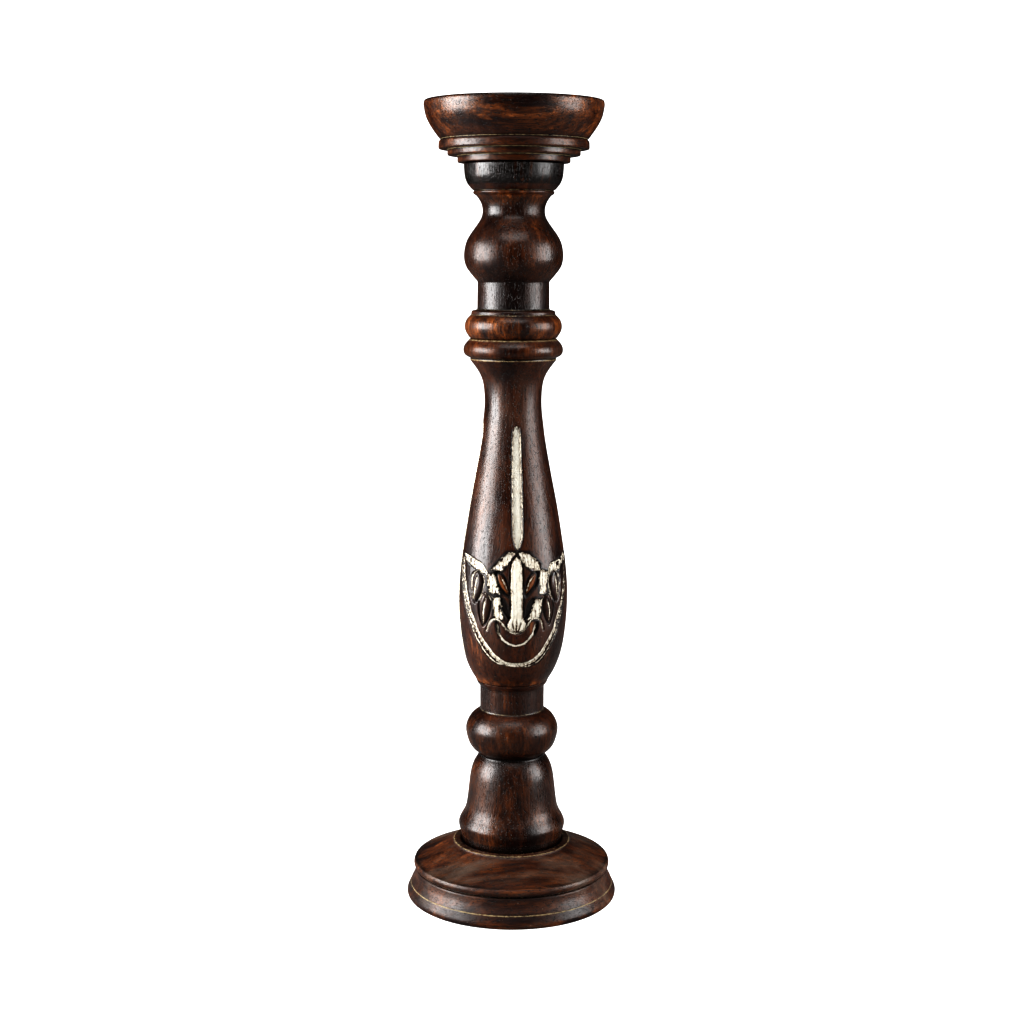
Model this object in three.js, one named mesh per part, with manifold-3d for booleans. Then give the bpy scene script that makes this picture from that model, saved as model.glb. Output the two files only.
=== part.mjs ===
// A turned and carved wooden candlestick, in millimetres, +Z up.
// The origin is the centre of the felt on its underside, and the front of the carving faces -Y.
//
// Five turned wooden pieces stand on each other. Loose dowels join the stem pieces and the dish,
// a turned tenon and a screw from below hold the stem to the base, and a metal pan with a pricket
// lies in the dish to hold a pillar candle.

import * as THREE from "three";
import { mergeVertices } from "three/addons/utils/BufferGeometryUtils.js";
import Module from "manifold-3d";

// ---------------------------------------------------------------- driving dimensions

const BASE_HEIGHT = 36;
const LOWER_STEM_HEIGHT = 106;
const VASE_HEIGHT = 215;
const UPPER_STEM_HEIGHT = 106;
const DISH_HEIGHT = 37;

const BASE_RADIUS = 67;
const VASE_RADIUS = 34.6;
const DISH_RADIUS = 54.9;

const CANDLE_RADIUS = 38;
const CANDLE_ROOM = 8.3;
const PAN_DEPTH = 18;

const GAP = 0.3;
const FELT_THICKNESS = 1.5;
const FELT_PROUD = 0.6;
const FELT_RADIUS = 60;

const FOOT_RADIUS = 31.4;
const LEDGE_RADIUS = 37;
const TENON_RADIUS = 14;
const TENON_LENGTH = 16;
const SCREW_RADIUS = 2.1;
const SCREW_HEAD_RADIUS = 4.6;
const SCREW_GRIP = 20;
const WASHER_RADIUS = 7.5;
const WASHER_THICKNESS = 1.2;
const COUNTERBORE_DEPTH = 7;

const STEM_DOWEL_RADIUS = 8;
const NECK_DOWEL_RADIUS = 7;
const DOWEL_DEPTH = 19;
const DISH_DOWEL_DEPTH = 13;
const DISH_SOCKET_DEPTH = 6;

const PRICKET_HEIGHT = 14;
const PRICKET_RADIUS = 2.4;
const PRICKET_SHANK = 11;
const PRICKET_SHANK_RADIUS = 1.6;
const PAN_THICKNESS = 0.8;
const PAN_LIP = 2.4;
const SEAT_RISE = 0.3;
const SEAT_INNER = 7;
const SEAT_OUTER = 31;
const PIN_COUNT = 3;
const PIN_CIRCLE = 34;
const PIN_RADIUS = 0.8;
const PIN_HEAD_RADIUS = 1.9;
const PIN_LENGTH = 7;

// The carving, as heights above the vase's seat.
const SHIELD_LOW = 15.3;
const SHIELD_TIP = 81.5;
const FLUTE_LOW = 86;
const FLUTE_HIGH = 165;
const FLUTE_GOUGE = 4.4;
const FLUTE_DEPTH = 1.6;
const SIDE_FLUTE_LOW = 12;
const SIDE_FLUTE_GOUGE = 14;
const SIDE_FLUTE_DEPTH = 0.6;
const SHIELD_HALF_WIDTH = 74;
const LEAF_POCKETS = [
  { degrees: 15, height: 65, halfWidth: 3.6, halfHeight: 8.5 },
  { degrees: 13, height: 49.5, halfWidth: 2.8, halfHeight: 6.5 },
];

const TURNED_SIDES = 32;
const SMALL_SIDES = 16;
const GOUGE_SIDES = 8;
const CURVE_STEPS = 2;

// Heights of the joints above the table.
const STEM_SEAT = BASE_HEIGHT;
const VASE_SEAT = STEM_SEAT + LOWER_STEM_HEIGHT;
const UPPER_SEAT = VASE_SEAT + VASE_HEIGHT;
const DISH_SEAT = UPPER_SEAT + UPPER_STEM_HEIGHT;
const TOTAL_HEIGHT = DISH_SEAT + DISH_HEIGHT;

const RECESS_RADIUS = CANDLE_RADIUS + CANDLE_ROOM;
const RECESS_FLOOR = TOTAL_HEIGHT - PAN_DEPTH;
const PAN_TOP = RECESS_FLOOR + GAP + PAN_THICKNESS;

// ---------------------------------------------------------------- materials

function material(name, color, roughness, metalness) {
  const result = new THREE.MeshStandardMaterial({ color, roughness, metalness });
  result.name = name;
  return result;
}

const darkWood = material("dark_wood", 0x3a1c10, 0.35, 0);
const carvedWood = material("carved_wood", 0x4a2615, 0.4, 0);
const plainDowel = material("plain_dowel", 0xb08a5a, 0.7, 0);
const brass = material("aged_brass", 0x9a7b3a, 0.4, 1);
const steel = material("steel", 0x8c8c8a, 0.35, 1);
const felt = material("felt", 0x2d3a2a, 0.95, 0);

// ---------------------------------------------------------------- turning

// Outlines are lists of points, each a radius and a height.
function at(radius, height) {
  return new THREE.Vector2(radius, height);
}

// A smooth curve through points given as [radius, height].
function smooth(...knots) {
  const curve = new THREE.SplineCurve(knots.map(([radius, height]) => at(radius, height)));
  return curve.getPoints((knots.length - 1) * CURVE_STEPS);
}

// Turns an outline about the Z axis. A closed outline ends where it starts.
function turn(outline, sides = TURNED_SIDES) {
  const geometry = new THREE.LatheGeometry(outline, sides);
  geometry.rotateX(Math.PI / 2);
  return geometry;
}

// ---------------------------------------------------------------- boolean cuts

const wasm = await Module();
wasm.setup();

function toSolid(geometry) {
  const bare = geometry.clone();
  bare.deleteAttribute("normal");
  bare.deleteAttribute("uv");
  const merged = mergeVertices(bare);
  const vertProperties = new Float32Array(merged.attributes.position.array);
  const triVerts = new Uint32Array(merged.index.array);
  return new wasm.Manifold(new wasm.Mesh({ numProp: 3, vertProperties, triVerts }));
}

function toGeometry(solid) {
  const { vertProperties, triVerts } = solid.getMesh();
  const geometry = new THREE.BufferGeometry();
  geometry.setAttribute("position", new THREE.BufferAttribute(vertProperties, 3));
  geometry.setIndex(new THREE.BufferAttribute(triVerts, 1));
  return geometry;
}

function cut(geometry, cutters) {
  let solid = toSolid(geometry);
  for (const cutter of cutters) {
    solid = solid.subtract(toSolid(cutter));
  }
  return toGeometry(solid);
}

// A round hole from one height to another, on the axis unless moved.
function bore(radius, low, high, x = 0, y = 0) {
  const geometry = new THREE.CylinderGeometry(radius, radius, high - low, SMALL_SIDES);
  geometry.rotateX(Math.PI / 2);
  geometry.translate(x, y, (low + high) / 2);
  return geometry;
}

// ---------------------------------------------------------------- the base

// The felt disc lies in a shallow recess and stands a little proud of the wood.
function feltPad() {
  return turn([at(0, 0), at(FELT_RADIUS, 0), at(FELT_RADIUS, FELT_THICKNESS), at(0, FELT_THICKNESS)]);
}

// A broad disc over a coved foot. A raised ledge rings the seat of the stem on top, around a mortise,
// and the screw hole is counterbored from below.
function basePlinth() {
  const recess = FELT_THICKNESS + GAP;
  const recessRadius = FELT_RADIUS + 1;
  const counterbore = recess + COUNTERBORE_DEPTH;
  const screwHole = SCREW_RADIUS + GAP;
  const boreRadius = WASHER_RADIUS + 1;
  const mortise = TENON_RADIUS + GAP;
  const mortiseFloor = BASE_HEIGHT - TENON_LENGTH - 1;
  const top = BASE_HEIGHT - GAP;
  return turn([
    at(boreRadius, recess), at(recessRadius, recess), at(recessRadius, FELT_PROUD),
    at(BASE_RADIUS - 1.6, FELT_PROUD),
    ...smooth([BASE_RADIUS - 0.5, 1.6], [BASE_RADIUS, 4.2], [BASE_RADIUS - 2.3, 8.8]),
    ...smooth([BASE_RADIUS - 2.5, 9.8], [BASE_RADIUS - 4.6, 14], [BASE_RADIUS - 5.4, 18.6]),
    at(BASE_RADIUS - 6.6, 19.2), at(BASE_RADIUS - 6.6, 19.9),
    ...smooth([BASE_RADIUS - 4.9, 20], [BASE_RADIUS - 4.3, 22.3], [BASE_RADIUS - 5.1, 24.4]),
    ...smooth([51, 29.1], [43, 32.8], [LEDGE_RADIUS + 0.6, 35.8]), at(LEDGE_RADIUS, 37),
    at(FOOT_RADIUS + 1.2, 37.3), at(FOOT_RADIUS + GAP, top), at(mortise, top), at(mortise, mortiseFloor),
    at(screwHole, mortiseFloor), at(screwHole, counterbore), at(boreRadius, counterbore),
    at(boreRadius, recess),
  ]);
}

// A pan-head wood screw with a slot, up through the base into the stem.
function baseScrew() {
  const head = FELT_THICKNESS + COUNTERBORE_DEPTH - WASHER_THICKNESS - GAP;
  const headHeight = 2.6;
  const slotWidth = 1.1;
  const slotDepth = 1.2;
  const tip = STEM_SEAT + SCREW_GRIP;
  const taper = 6;
  const threadPitch = 3;
  const threadDepth = 0.5;
  const threadStart = STEM_SEAT - TENON_LENGTH + 4;
  const outline = [
    at(0, head - headHeight), at(SCREW_HEAD_RADIUS - 1.2, head - headHeight),
    at(SCREW_HEAD_RADIUS, head - 1.2), at(SCREW_HEAD_RADIUS, head), at(SCREW_RADIUS, head),
  ];
  for (let z = threadStart; z < tip - taper; z += threadPitch) {
    outline.push(at(SCREW_RADIUS, z), at(SCREW_RADIUS - threadDepth, z + 0.4 * threadPitch));
  }
  outline.push(at(SCREW_RADIUS, tip - taper), at(0, tip));
  const slot = new THREE.BoxGeometry(3 * SCREW_HEAD_RADIUS, slotWidth, 2 * slotDepth);
  slot.translate(0, 0, head - headHeight);
  return cut(turn(outline, SMALL_SIDES), [slot]);
}

function screwWasher() {
  const top = FELT_THICKNESS + COUNTERBORE_DEPTH;
  const low = top - WASHER_THICKNESS;
  const hole = SCREW_RADIUS + GAP;
  return turn([
    at(hole, low), at(WASHER_RADIUS, low), at(WASHER_RADIUS, top), at(hole, top), at(hole, low),
  ], SMALL_SIDES);
}

// ---------------------------------------------------------------- the stem

// The bell, ball and upper neck, over a tenon that the screw pulls into the base.
function lowerStem() {
  const pilot = SCREW_RADIUS + GAP;
  const pilotTop = SCREW_GRIP + 1;
  const top = LOWER_STEM_HEIGHT - GAP;
  const socket = STEM_DOWEL_RADIUS + GAP;
  return turn([
    at(0, pilotTop), at(pilot, pilotTop), at(pilot, -TENON_LENGTH), at(TENON_RADIUS, -TENON_LENGTH),
    at(TENON_RADIUS, 0),
    ...smooth([FOOT_RADIUS, 0], [32.2, 3], [32.6, 6.5], [34, 12], [32.2, 16.6], [29.2, 22.6], [27.6, 34],
      [26.3, 45], [24, 52.2], [20.6, 57.4]),
    ...smooth([22.8, 59.6], [26.8, 64], [29.4, 73.6], [27.5, 80], [24.3, 84], [21, 86]),
    at(20.2, 86.8), at(20.2, 102),
    ...smooth([20.8, 102.8], [21.9, 104.2], [22.6, top]),
    at(socket, top), at(socket, top - DOWEL_DEPTH), at(0, top - DOWEL_DEPTH),
  ]);
}

// A loose dowel with chamfered ends, reaching below and above the height of its joint.
function dowel(radius, below, above, joint) {
  const chamfer = 1.2;
  const low = joint - below;
  const high = joint + above;
  return turn([
    at(0, low), at(radius - chamfer, low), at(radius, low + chamfer),
    at(radius, high - chamfer), at(radius - chamfer, high), at(0, high),
  ], SMALL_SIDES);
}

// The outside of the carved vase: a long pear shape, a neck, and a torus at the top.
function vaseSide() {
  return [
    at(22.7, 0),
    ...smooth(
      [23.4, 1.6], [27.2, 8], [31.5, 20.5], [33.9, 38], [VASE_RADIUS, 56], [33.2, 76], [29.4, 102],
      [25.4, 124], [20.9, 148], [18, 168], [17.6, 179], [18.8, 189.2], [22.2, 196], [26.2, 201.2],
    ),
    at(26.8, 202.2), at(26.1, 203),
    ...smooth([27.2, 203.4], [29.9, 205], [30.8, 208], [30, 211], [28, 213.4]), at(26.8, VASE_HEIGHT - GAP),
  ];
}

// The radius of the vase's side at a height above its seat.
function vaseRadius(height) {
  const side = vaseSide();
  const above = Math.max(1, side.findIndex((point) => point.y > height));
  const [a, b] = [side[above - 1], side[above]];
  return THREE.MathUtils.mapLinear(height, a.y, b.y, a.x, b.x);
}

// A point on the vase's side, or a little off it, at an angle from the front of the carving.
function onVase(degrees, height, off = 0) {
  const angle = THREE.MathUtils.degToRad(degrees);
  const radius = vaseRadius(height) + off;
  return new THREE.Vector3(radius * Math.sin(angle), -radius * Math.cos(angle), height);
}

// A round gouge that follows a path cut into the vase.
function gouge(path, radius) {
  const section = new THREE.Shape();
  section.absarc(0, 0, radius, 0, 2 * Math.PI);
  return new THREE.ExtrudeGeometry(section, {
    extrudePath: new THREE.CatmullRomCurve3(path),
    steps: path.length - 1,
    bevelEnabled: false,
    curveSegments: GOUGE_SIDES / 2,
  });
}

// A straight flute up to the neck, cut with a gouge of a radius. It runs out of the wood at both ends.
function flute(degrees, low, radius, depth) {
  const runOutLift = 3.2;
  const points = 9;
  const path = [];
  for (let i = 0; i < points; i += 1) {
    const along = i / (points - 1);
    const lift = radius - depth + runOutLift * Math.abs(2 * along - 1) ** 6;
    path.push(onVase(degrees, THREE.MathUtils.lerp(low, FLUTE_HIGH, along), lift));
  }
  return gouge(path, radius);
}

// The U-shaped groove that frames a shield, low in the middle and rising to both sides.
function shieldGroove(centre) {
  const grooveRadius = 1.6;
  const points = 19;
  const path = [];
  for (let i = 0; i < points; i += 1) {
    const across = 2 * i / (points - 1) - 1;
    const height = SHIELD_LOW + (SHIELD_TIP - SHIELD_LOW) * Math.abs(across) ** 2.4;
    path.push(onVase(centre + SHIELD_HALF_WIDTH * across, height, 0.3 * grooveRadius));
  }
  return gouge(path, grooveRadius);
}

// A hollow between the leaves, as a flattened ball sunk into the side.
function leafPocket(degrees, { height, halfWidth, halfHeight }) {
  const pocket = new THREE.SphereGeometry(1, 8, 6);
  const depth = 2.4;
  pocket.scale(halfWidth, depth, halfHeight);
  pocket.rotateZ(THREE.MathUtils.degToRad(degrees));
  const centre = onVase(degrees, height, depth / 4);
  pocket.translate(centre.x, centre.y, centre.z);
  return pocket;
}

// The vase carries two carved shields, front and back, with a flute above each and one between them.
function carvedVase() {
  const top = VASE_HEIGHT - GAP;
  const lowSocket = STEM_DOWEL_RADIUS + GAP;
  const highSocket = NECK_DOWEL_RADIUS + GAP;
  const blank = turn([
    at(0, DOWEL_DEPTH), at(lowSocket, DOWEL_DEPTH), at(lowSocket, 0),
    ...vaseSide(),
    at(highSocket, top), at(highSocket, top - DOWEL_DEPTH), at(0, top - DOWEL_DEPTH),
  ]);
  const cutters = [];
  for (const centre of [0, 180]) {
    cutters.push(shieldGroove(centre));
    cutters.push(flute(centre, FLUTE_LOW, FLUTE_GOUGE, FLUTE_DEPTH));
    cutters.push(flute(centre + 90, SIDE_FLUTE_LOW, SIDE_FLUTE_GOUGE, SIDE_FLUTE_DEPTH));
    for (const pocket of LEAF_POCKETS) {
      cutters.push(leafPocket(centre - pocket.degrees, pocket));
      cutters.push(leafPocket(centre + pocket.degrees, pocket));
    }
  }
  return cut(blank, cutters);
}

// The upper ring, neck, ball and capital.
function upperStem() {
  const top = UPPER_STEM_HEIGHT - GAP;
  const lowSocket = NECK_DOWEL_RADIUS + GAP;
  const highSocket = STEM_DOWEL_RADIUS + GAP;
  return turn([
    at(0, DOWEL_DEPTH), at(lowSocket, DOWEL_DEPTH), at(lowSocket, 0),
    ...smooth([26.6, 0], [29.2, 3.8], [30, 7.4], [29.1, 11.1], [26.8, 13.8]),
    at(26, 14.4), at(25.7, 16.8), at(22.2, 17.6), at(22, 34.4),
    ...smooth([22.4, 35], [26, 39.2], [29.4, 44.2], [30.5, 51], [28.7, 59.7], [23.8, 67], [19.8, 73],
      [19, 78], [20.2, 82.6], [22.9, 86.6]),
    at(24.6, 87.4), at(24.9, 88.6), at(24, 89.4),
    ...smooth([25, 89.8], [28.2, 93.4], [30, 98.2], [30.5, top]),
    at(highSocket, top), at(highSocket, top - DISH_DOWEL_DEPTH), at(0, top - DISH_DOWEL_DEPTH),
  ]);
}

// ---------------------------------------------------------------- the dish and what it holds

// Three steps under a bowl, with a flat-bottomed recess and pilot holes for the pricket and the pins.
function candleDish() {
  const socket = STEM_DOWEL_RADIUS + GAP;
  const floor = DISH_HEIGHT - PAN_DEPTH;
  const blank = turn([
    at(0, DISH_SOCKET_DEPTH), at(socket, DISH_SOCKET_DEPTH), at(socket, 0),
    at(34, 0), at(34.4, 0.6), at(34.3, 4.2), at(40, 4.2), at(40.5, 4.9), at(40.4, 8),
    at(45.4, 8), at(45.9, 8.7), at(45.8, 12.6), at(45, 13.3), at(44.6, 14),
    ...smooth([45.3, 14.4], [47.3, 17], [50.4, 21.4], [53.5, 27.4], [DISH_RADIUS, 34.8]),
    at(DISH_RADIUS - 0.6, DISH_HEIGHT), at(RECESS_RADIUS + 1.4, DISH_HEIGHT),
    at(RECESS_RADIUS, DISH_HEIGHT - 1.4), at(RECESS_RADIUS, floor), at(0, floor),
  ]);
  const pilots = [bore(PRICKET_SHANK_RADIUS + GAP, floor - PRICKET_SHANK - 1, floor + 1)];
  for (const [x, y] of pinPlaces()) {
    pilots.push(bore(PIN_RADIUS + GAP, floor - PIN_LENGTH - 1, floor + 1, x, y));
  }
  return cut(blank, pilots);
}

function pinPlaces() {
  const places = [];
  for (let i = 0; i < PIN_COUNT; i += 1) {
    const angle = 2 * Math.PI * (i / PIN_COUNT + 0.25);
    places.push([PIN_CIRCLE * Math.cos(angle), PIN_CIRCLE * Math.sin(angle)]);
  }
  return places;
}

// A thin metal pan with a flared lip and a slightly raised ring that the candle stands on. It is
// drilled for the pricket and the pins.
function dripPan() {
  const low = RECESS_FLOOR + GAP;
  const rim = RECESS_RADIUS - GAP;
  const corner = rim - 1.6;
  const blank = turn([
    at(0, low), at(corner, low), at(rim, low + PAN_LIP), at(rim - PAN_THICKNESS, low + PAN_LIP),
    at(corner - PAN_THICKNESS / 2, PAN_TOP), at(SEAT_OUTER + SEAT_RISE, PAN_TOP),
    at(SEAT_OUTER, PAN_TOP + SEAT_RISE), at(SEAT_INNER, PAN_TOP + SEAT_RISE),
    at(SEAT_INNER - SEAT_RISE, PAN_TOP), at(0, PAN_TOP),
  ]);
  const holes = [bore(PRICKET_SHANK_RADIUS + GAP, low - 1, PAN_TOP + 1)];
  for (const [x, y] of pinPlaces()) {
    holes.push(bore(PIN_RADIUS + GAP, low - 1, PAN_TOP + 1, x, y));
  }
  return cut(blank, holes);
}

// A spike with a flange that bears on the pan, and a shank screwed into the dish.
function pricket() {
  const seat = PAN_TOP + GAP;
  const flangeRadius = 5.5;
  const flangeTop = seat + 1.2;
  return turn([
    at(0, RECESS_FLOOR - PRICKET_SHANK), at(PRICKET_SHANK_RADIUS, RECESS_FLOOR - PRICKET_SHANK + 2),
    at(PRICKET_SHANK_RADIUS, seat), at(flangeRadius, seat), at(flangeRadius, flangeTop - 0.4),
    at(flangeRadius - 0.5, flangeTop), at(PRICKET_RADIUS, flangeTop + 0.2),
    at(PRICKET_RADIUS * 0.6, seat + PRICKET_HEIGHT * 0.6), at(0, seat + PRICKET_HEIGHT),
  ], SMALL_SIDES);
}

function pin() {
  const seat = PAN_TOP + GAP;
  return turn([
    at(0, RECESS_FLOOR - PIN_LENGTH), at(PIN_RADIUS, RECESS_FLOOR - PIN_LENGTH + 1.6), at(PIN_RADIUS, seat),
    at(PIN_HEAD_RADIUS, seat), at(PIN_HEAD_RADIUS * 0.8, seat + 0.6), at(0, seat + 0.9),
  ], SMALL_SIDES / 2);
}

// ---------------------------------------------------------------- assembly

const candlestick = new THREE.Group();

function place(name, geometry, surface, x = 0, y = 0, z = 0) {
  const mesh = new THREE.Mesh(geometry, surface);
  mesh.name = name;
  mesh.position.set(x, y, z);
  candlestick.add(mesh);
}

place("felt_pad", feltPad(), felt);
place("base_plinth", basePlinth(), darkWood);
place("base_screw", baseScrew(), steel);
place("screw_washer", screwWasher(), steel);
place("lower_stem", lowerStem(), darkWood, 0, 0, STEM_SEAT);
place("lower_dowel", dowel(STEM_DOWEL_RADIUS, DOWEL_DEPTH - 1, DOWEL_DEPTH - 1, VASE_SEAT), plainDowel);
place("carved_vase", carvedVase(), carvedWood, 0, 0, VASE_SEAT);
place("upper_dowel", dowel(NECK_DOWEL_RADIUS, DOWEL_DEPTH - 1, DOWEL_DEPTH - 1, UPPER_SEAT), plainDowel);
place("upper_stem", upperStem(), darkWood, 0, 0, UPPER_SEAT);
place("dish_dowel", dowel(STEM_DOWEL_RADIUS, DISH_DOWEL_DEPTH - 1, DISH_SOCKET_DEPTH - 1, DISH_SEAT),
  plainDowel);
place("candle_dish", candleDish(), darkWood, 0, 0, DISH_SEAT);
place("drip_pan", dripPan(), brass);
place("pricket_spike", pricket(), brass);
pinPlaces().forEach(([x, y], i) => {
  place(`pan_pin_${i + 1}`, pin(), brass, x, y);
});

export default candlestick;
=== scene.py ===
"""The looks of a turned and carved wooden candlestick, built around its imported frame.

Each turned piece is turned again at a fine resolution from the outline of its CAD node. The vase
gets its carving as real relief, and the wood, paint and metal are procedural materials.
Lengths in the carving and the outlines are millimetres, and everything in Blender is metres.
"""
import math
from types import SimpleNamespace

import bpy
import numpy as np
from mathutils import Matrix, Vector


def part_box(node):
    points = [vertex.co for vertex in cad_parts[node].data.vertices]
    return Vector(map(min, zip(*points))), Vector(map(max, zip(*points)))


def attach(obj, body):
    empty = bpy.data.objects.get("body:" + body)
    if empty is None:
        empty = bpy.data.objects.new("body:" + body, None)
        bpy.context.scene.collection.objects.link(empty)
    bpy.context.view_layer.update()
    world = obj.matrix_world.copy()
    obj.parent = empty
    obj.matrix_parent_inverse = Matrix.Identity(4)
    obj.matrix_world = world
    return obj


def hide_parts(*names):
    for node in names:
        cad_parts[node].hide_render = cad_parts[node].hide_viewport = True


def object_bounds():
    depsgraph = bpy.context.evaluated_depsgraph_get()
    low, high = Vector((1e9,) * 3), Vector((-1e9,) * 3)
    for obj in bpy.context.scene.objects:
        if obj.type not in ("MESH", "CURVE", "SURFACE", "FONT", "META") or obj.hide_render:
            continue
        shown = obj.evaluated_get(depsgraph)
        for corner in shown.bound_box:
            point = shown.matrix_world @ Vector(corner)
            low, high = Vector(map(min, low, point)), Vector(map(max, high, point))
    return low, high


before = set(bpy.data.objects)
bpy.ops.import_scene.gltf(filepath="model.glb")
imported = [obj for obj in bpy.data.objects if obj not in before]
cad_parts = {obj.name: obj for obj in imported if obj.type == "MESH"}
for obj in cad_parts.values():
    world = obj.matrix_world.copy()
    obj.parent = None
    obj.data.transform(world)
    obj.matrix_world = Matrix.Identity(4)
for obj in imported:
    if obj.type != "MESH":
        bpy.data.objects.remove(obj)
cad_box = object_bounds()

MM = 0.001
TINY = 1e-9
BODY = "root"

# ---- colours, as sRGB 0 to 255


def srgb(red, green, blue):
    """A colour given in sRGB, as the linear colour that the shaders take."""
    linear = []
    for value in (red, green, blue):
        share = value / 255
        linear.append(share / 12.92 if share <= 0.04045 else ((share + 0.055) / 1.055) ** 2.4)
    return (*linear, 1.0)


STAIN = srgb(68, 37, 21)
DEEP_STAIN = srgb(31, 11, 6)
RED_STAIN = srgb(92, 50, 25)
WARM_WOOD = srgb(138, 82, 36)
BARE_WOOD = srgb(172, 110, 62)
# Black lacquer, also used for dark fibres and pores, and as the colour of painted shade and painted
# shadow.
BLACK_LACQUER_AND_SHADE = srgb(16, 10, 8)
OLD_GLAZE = srgb(158, 142, 108)
# A pale grey for dust specks, and for a film that is part waxy bloom and part painted sheen.
PALE_BLOOM_AND_SHEEN = srgb(120, 104, 92)
CREAM_PAINT = srgb(220, 216, 204)
STAINED_PAINT = srgb(184, 164, 132)
OLD_CRACK = srgb(84, 60, 40)
DOWEL_WOOD = srgb(196, 158, 110)
DOWEL_FIBRE = srgb(150, 110, 70)
AGED_BRASS = srgb(186, 148, 82)
TARNISH = srgb(92, 70, 38)
STEEL = srgb(190, 190, 186)
DULL_STEEL = srgb(130, 128, 120)
FELT_GREEN = srgb(38, 52, 40)
FELT_FIBRE = srgb(66, 82, 64)
WHITE = (1.0, 1.0, 1.0, 1.0)

# ---- noise for the relief

# The seed of each noise field, by its use.
SEEDS = {
    "swell": 7, "ripple": 8, "ragged": 21, "fray": 22, "chips": 23, "strokes": 24, "stem": 31,
    "groove": 41, "flute_top": 51, "flute_side": 52, "warp_across": 61, "warp_along": 62,
}


def hash_grid(cells, seed):
    """A random value from 0 to 1 for each whole-number cell, scattered by large primes."""
    x, y, z = (cells[..., i].astype(np.int64) for i in range(3))
    n = (x * 73856093) ^ (y * 19349663) ^ (z * 83492791) ^ (seed * 2654435761)
    n = (n ^ (n >> 13)) * 1274126177 & 0x7FFFFFFF
    n = (n ^ (n >> 16)) * 668265263 & 0x7FFFFFFF
    return (n % 100003) / 100003


def value_noise(points, size, use):
    """Smooth noise from -1 to 1 at points in mm, with features of about that size, for one use."""
    scaled = points / size
    cell = np.floor(scaled)
    inside = scaled - cell
    inside = inside * inside * (3 - 2 * inside)
    total = np.zeros(points.shape[:-1])
    for corner in np.ndindex(2, 2, 2):
        weight = np.ones(points.shape[:-1])
        for axis, far in enumerate(corner):
            weight = weight * (inside[..., axis] if far else 1 - inside[..., axis])
        total += weight * hash_grid(cell + np.array(corner), SEEDS[use])
    return 2 * total - 1


def smoothstep(value, low, high):
    """0 below low, 1 above high, and a smooth rise between."""
    share = np.clip((value - low) / (high - low), 0, 1)
    return share * share * (3 - 2 * share)


# ---- outlines from the CAD nodes

CAD_SIDES = 32
MERIDIAN = math.radians(45)
NEAR_AXIS = 0.02
NEAR_MERIDIAN = 0.002

# A corner that turns by more degrees than this is an arris, and keeps its place but for a little.
ARRIS_TURN = 34.0
ARRIS = 0.45
CORNER_CUTS = 3
LONGEST_STEP = 1.3

# How deep a corner lies under its chord, in reaches, to count as a full bend.
FULL_BEND = 0.6


def node_vertices(name):
    """A CAD node's vertices in mm, and its edges as index pairs."""
    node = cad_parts[name]
    mesh = node.data
    points = np.empty(3 * len(mesh.vertices))
    mesh.vertices.foreach_get("co", points)
    points = points.reshape(-1, 3)
    world = np.array(node.matrix_world)
    points = points @ world[:3, :3].T + world[:3, 3]
    edges = np.empty(2 * len(mesh.edges), dtype=int)
    mesh.edges.foreach_get("vertices", edges)
    return points / MM, edges.reshape(-1, 2)


def node_axis(name):
    """The x and y, in mm, of the middle of a CAD node."""
    low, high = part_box(name)
    return np.array([(low[0] + high[0]) / 2, (low[1] + high[1]) / 2]) / MM


def turned_outline(name):
    """A turned CAD node's outline of radius and height along a meridian, and whether it is closed.

    It is closed where the piece has a hole right through, and else runs from axis to axis.
    """
    points, edges = node_vertices(name)
    flat = points[:, :2] - node_axis(name)
    radius = np.hypot(flat[:, 0], flat[:, 1])
    angle = np.arctan2(flat[:, 0], -flat[:, 1])
    on_axis = radius < NEAR_AXIS
    kept = on_axis | (np.abs(angle - MERIDIAN) < NEAR_MERIDIAN)
    places = {}
    for index in np.flatnonzero(kept):
        across = 0.0 if on_axis[index] else round(float(radius[index]), 2)
        places[index] = (across, round(float(points[index, 2]), 2))
    links = {place: set() for place in places.values()}
    for first, second in edges:
        if first in places and second in places and places[first] != places[second]:
            links[places[first]].add(places[second])
            links[places[second]].add(places[first])
    ends = [place for place in links if len(links[place]) == 1]
    outline = follow(links, min(ends or links, key=lambda place: place[1]))
    if ends:
        if outline[0][0] > 0:
            outline.insert(0, (0.0, outline[0][1]))
        if outline[-1][0] > 0:
            outline.append((0.0, outline[-1][1]))
    return np.array(outline), not ends


def follow(links, place):
    """The places met when links are followed from one place, each visited once."""
    outline = [place]
    while True:
        following = [step for step in links[place] if step not in outline]
        if not following:
            return outline
        place = following[0]
        outline.append(place)


def corner_limit(points, i):
    """How much of its sides a corner may lose: an arris if it is sharp, anything in a curve."""
    into = points[i] - points[i - 1]
    out = points[(i + 1) % len(points)] - points[i]
    cosine = into @ out / (np.linalg.norm(into) * np.linalg.norm(out) + TINY)
    turn = math.degrees(math.acos(max(-1.0, min(1.0, cosine))))
    return ARRIS if turn > ARRIS_TURN else math.inf


def softened(outline, closed):
    """Cuts each corner a few times over: a gentle turn by a quarter, a sharp one by an arris."""
    points = [np.array(point) for point in outline]
    limits = [corner_limit(points, i) for i in range(len(points))]
    for _ in range(CORNER_CUTS):
        finer, finer_limits = [], []
        for i, point in enumerate(points):
            if not closed and i in (0, len(points) - 1):
                finer.append(point)
                finer_limits.append(limits[i])
                continue
            for other in (points[i - 1], points[(i + 1) % len(points)]):
                side = other - point
                length = np.linalg.norm(side)
                cut = min(length / 4, limits[i])
                finer.append(point + side * (cut / (length + TINY)))
                finer_limits.append(limits[i] / 2)
        points, limits = finer, finer_limits
    return np.array(points)


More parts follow.
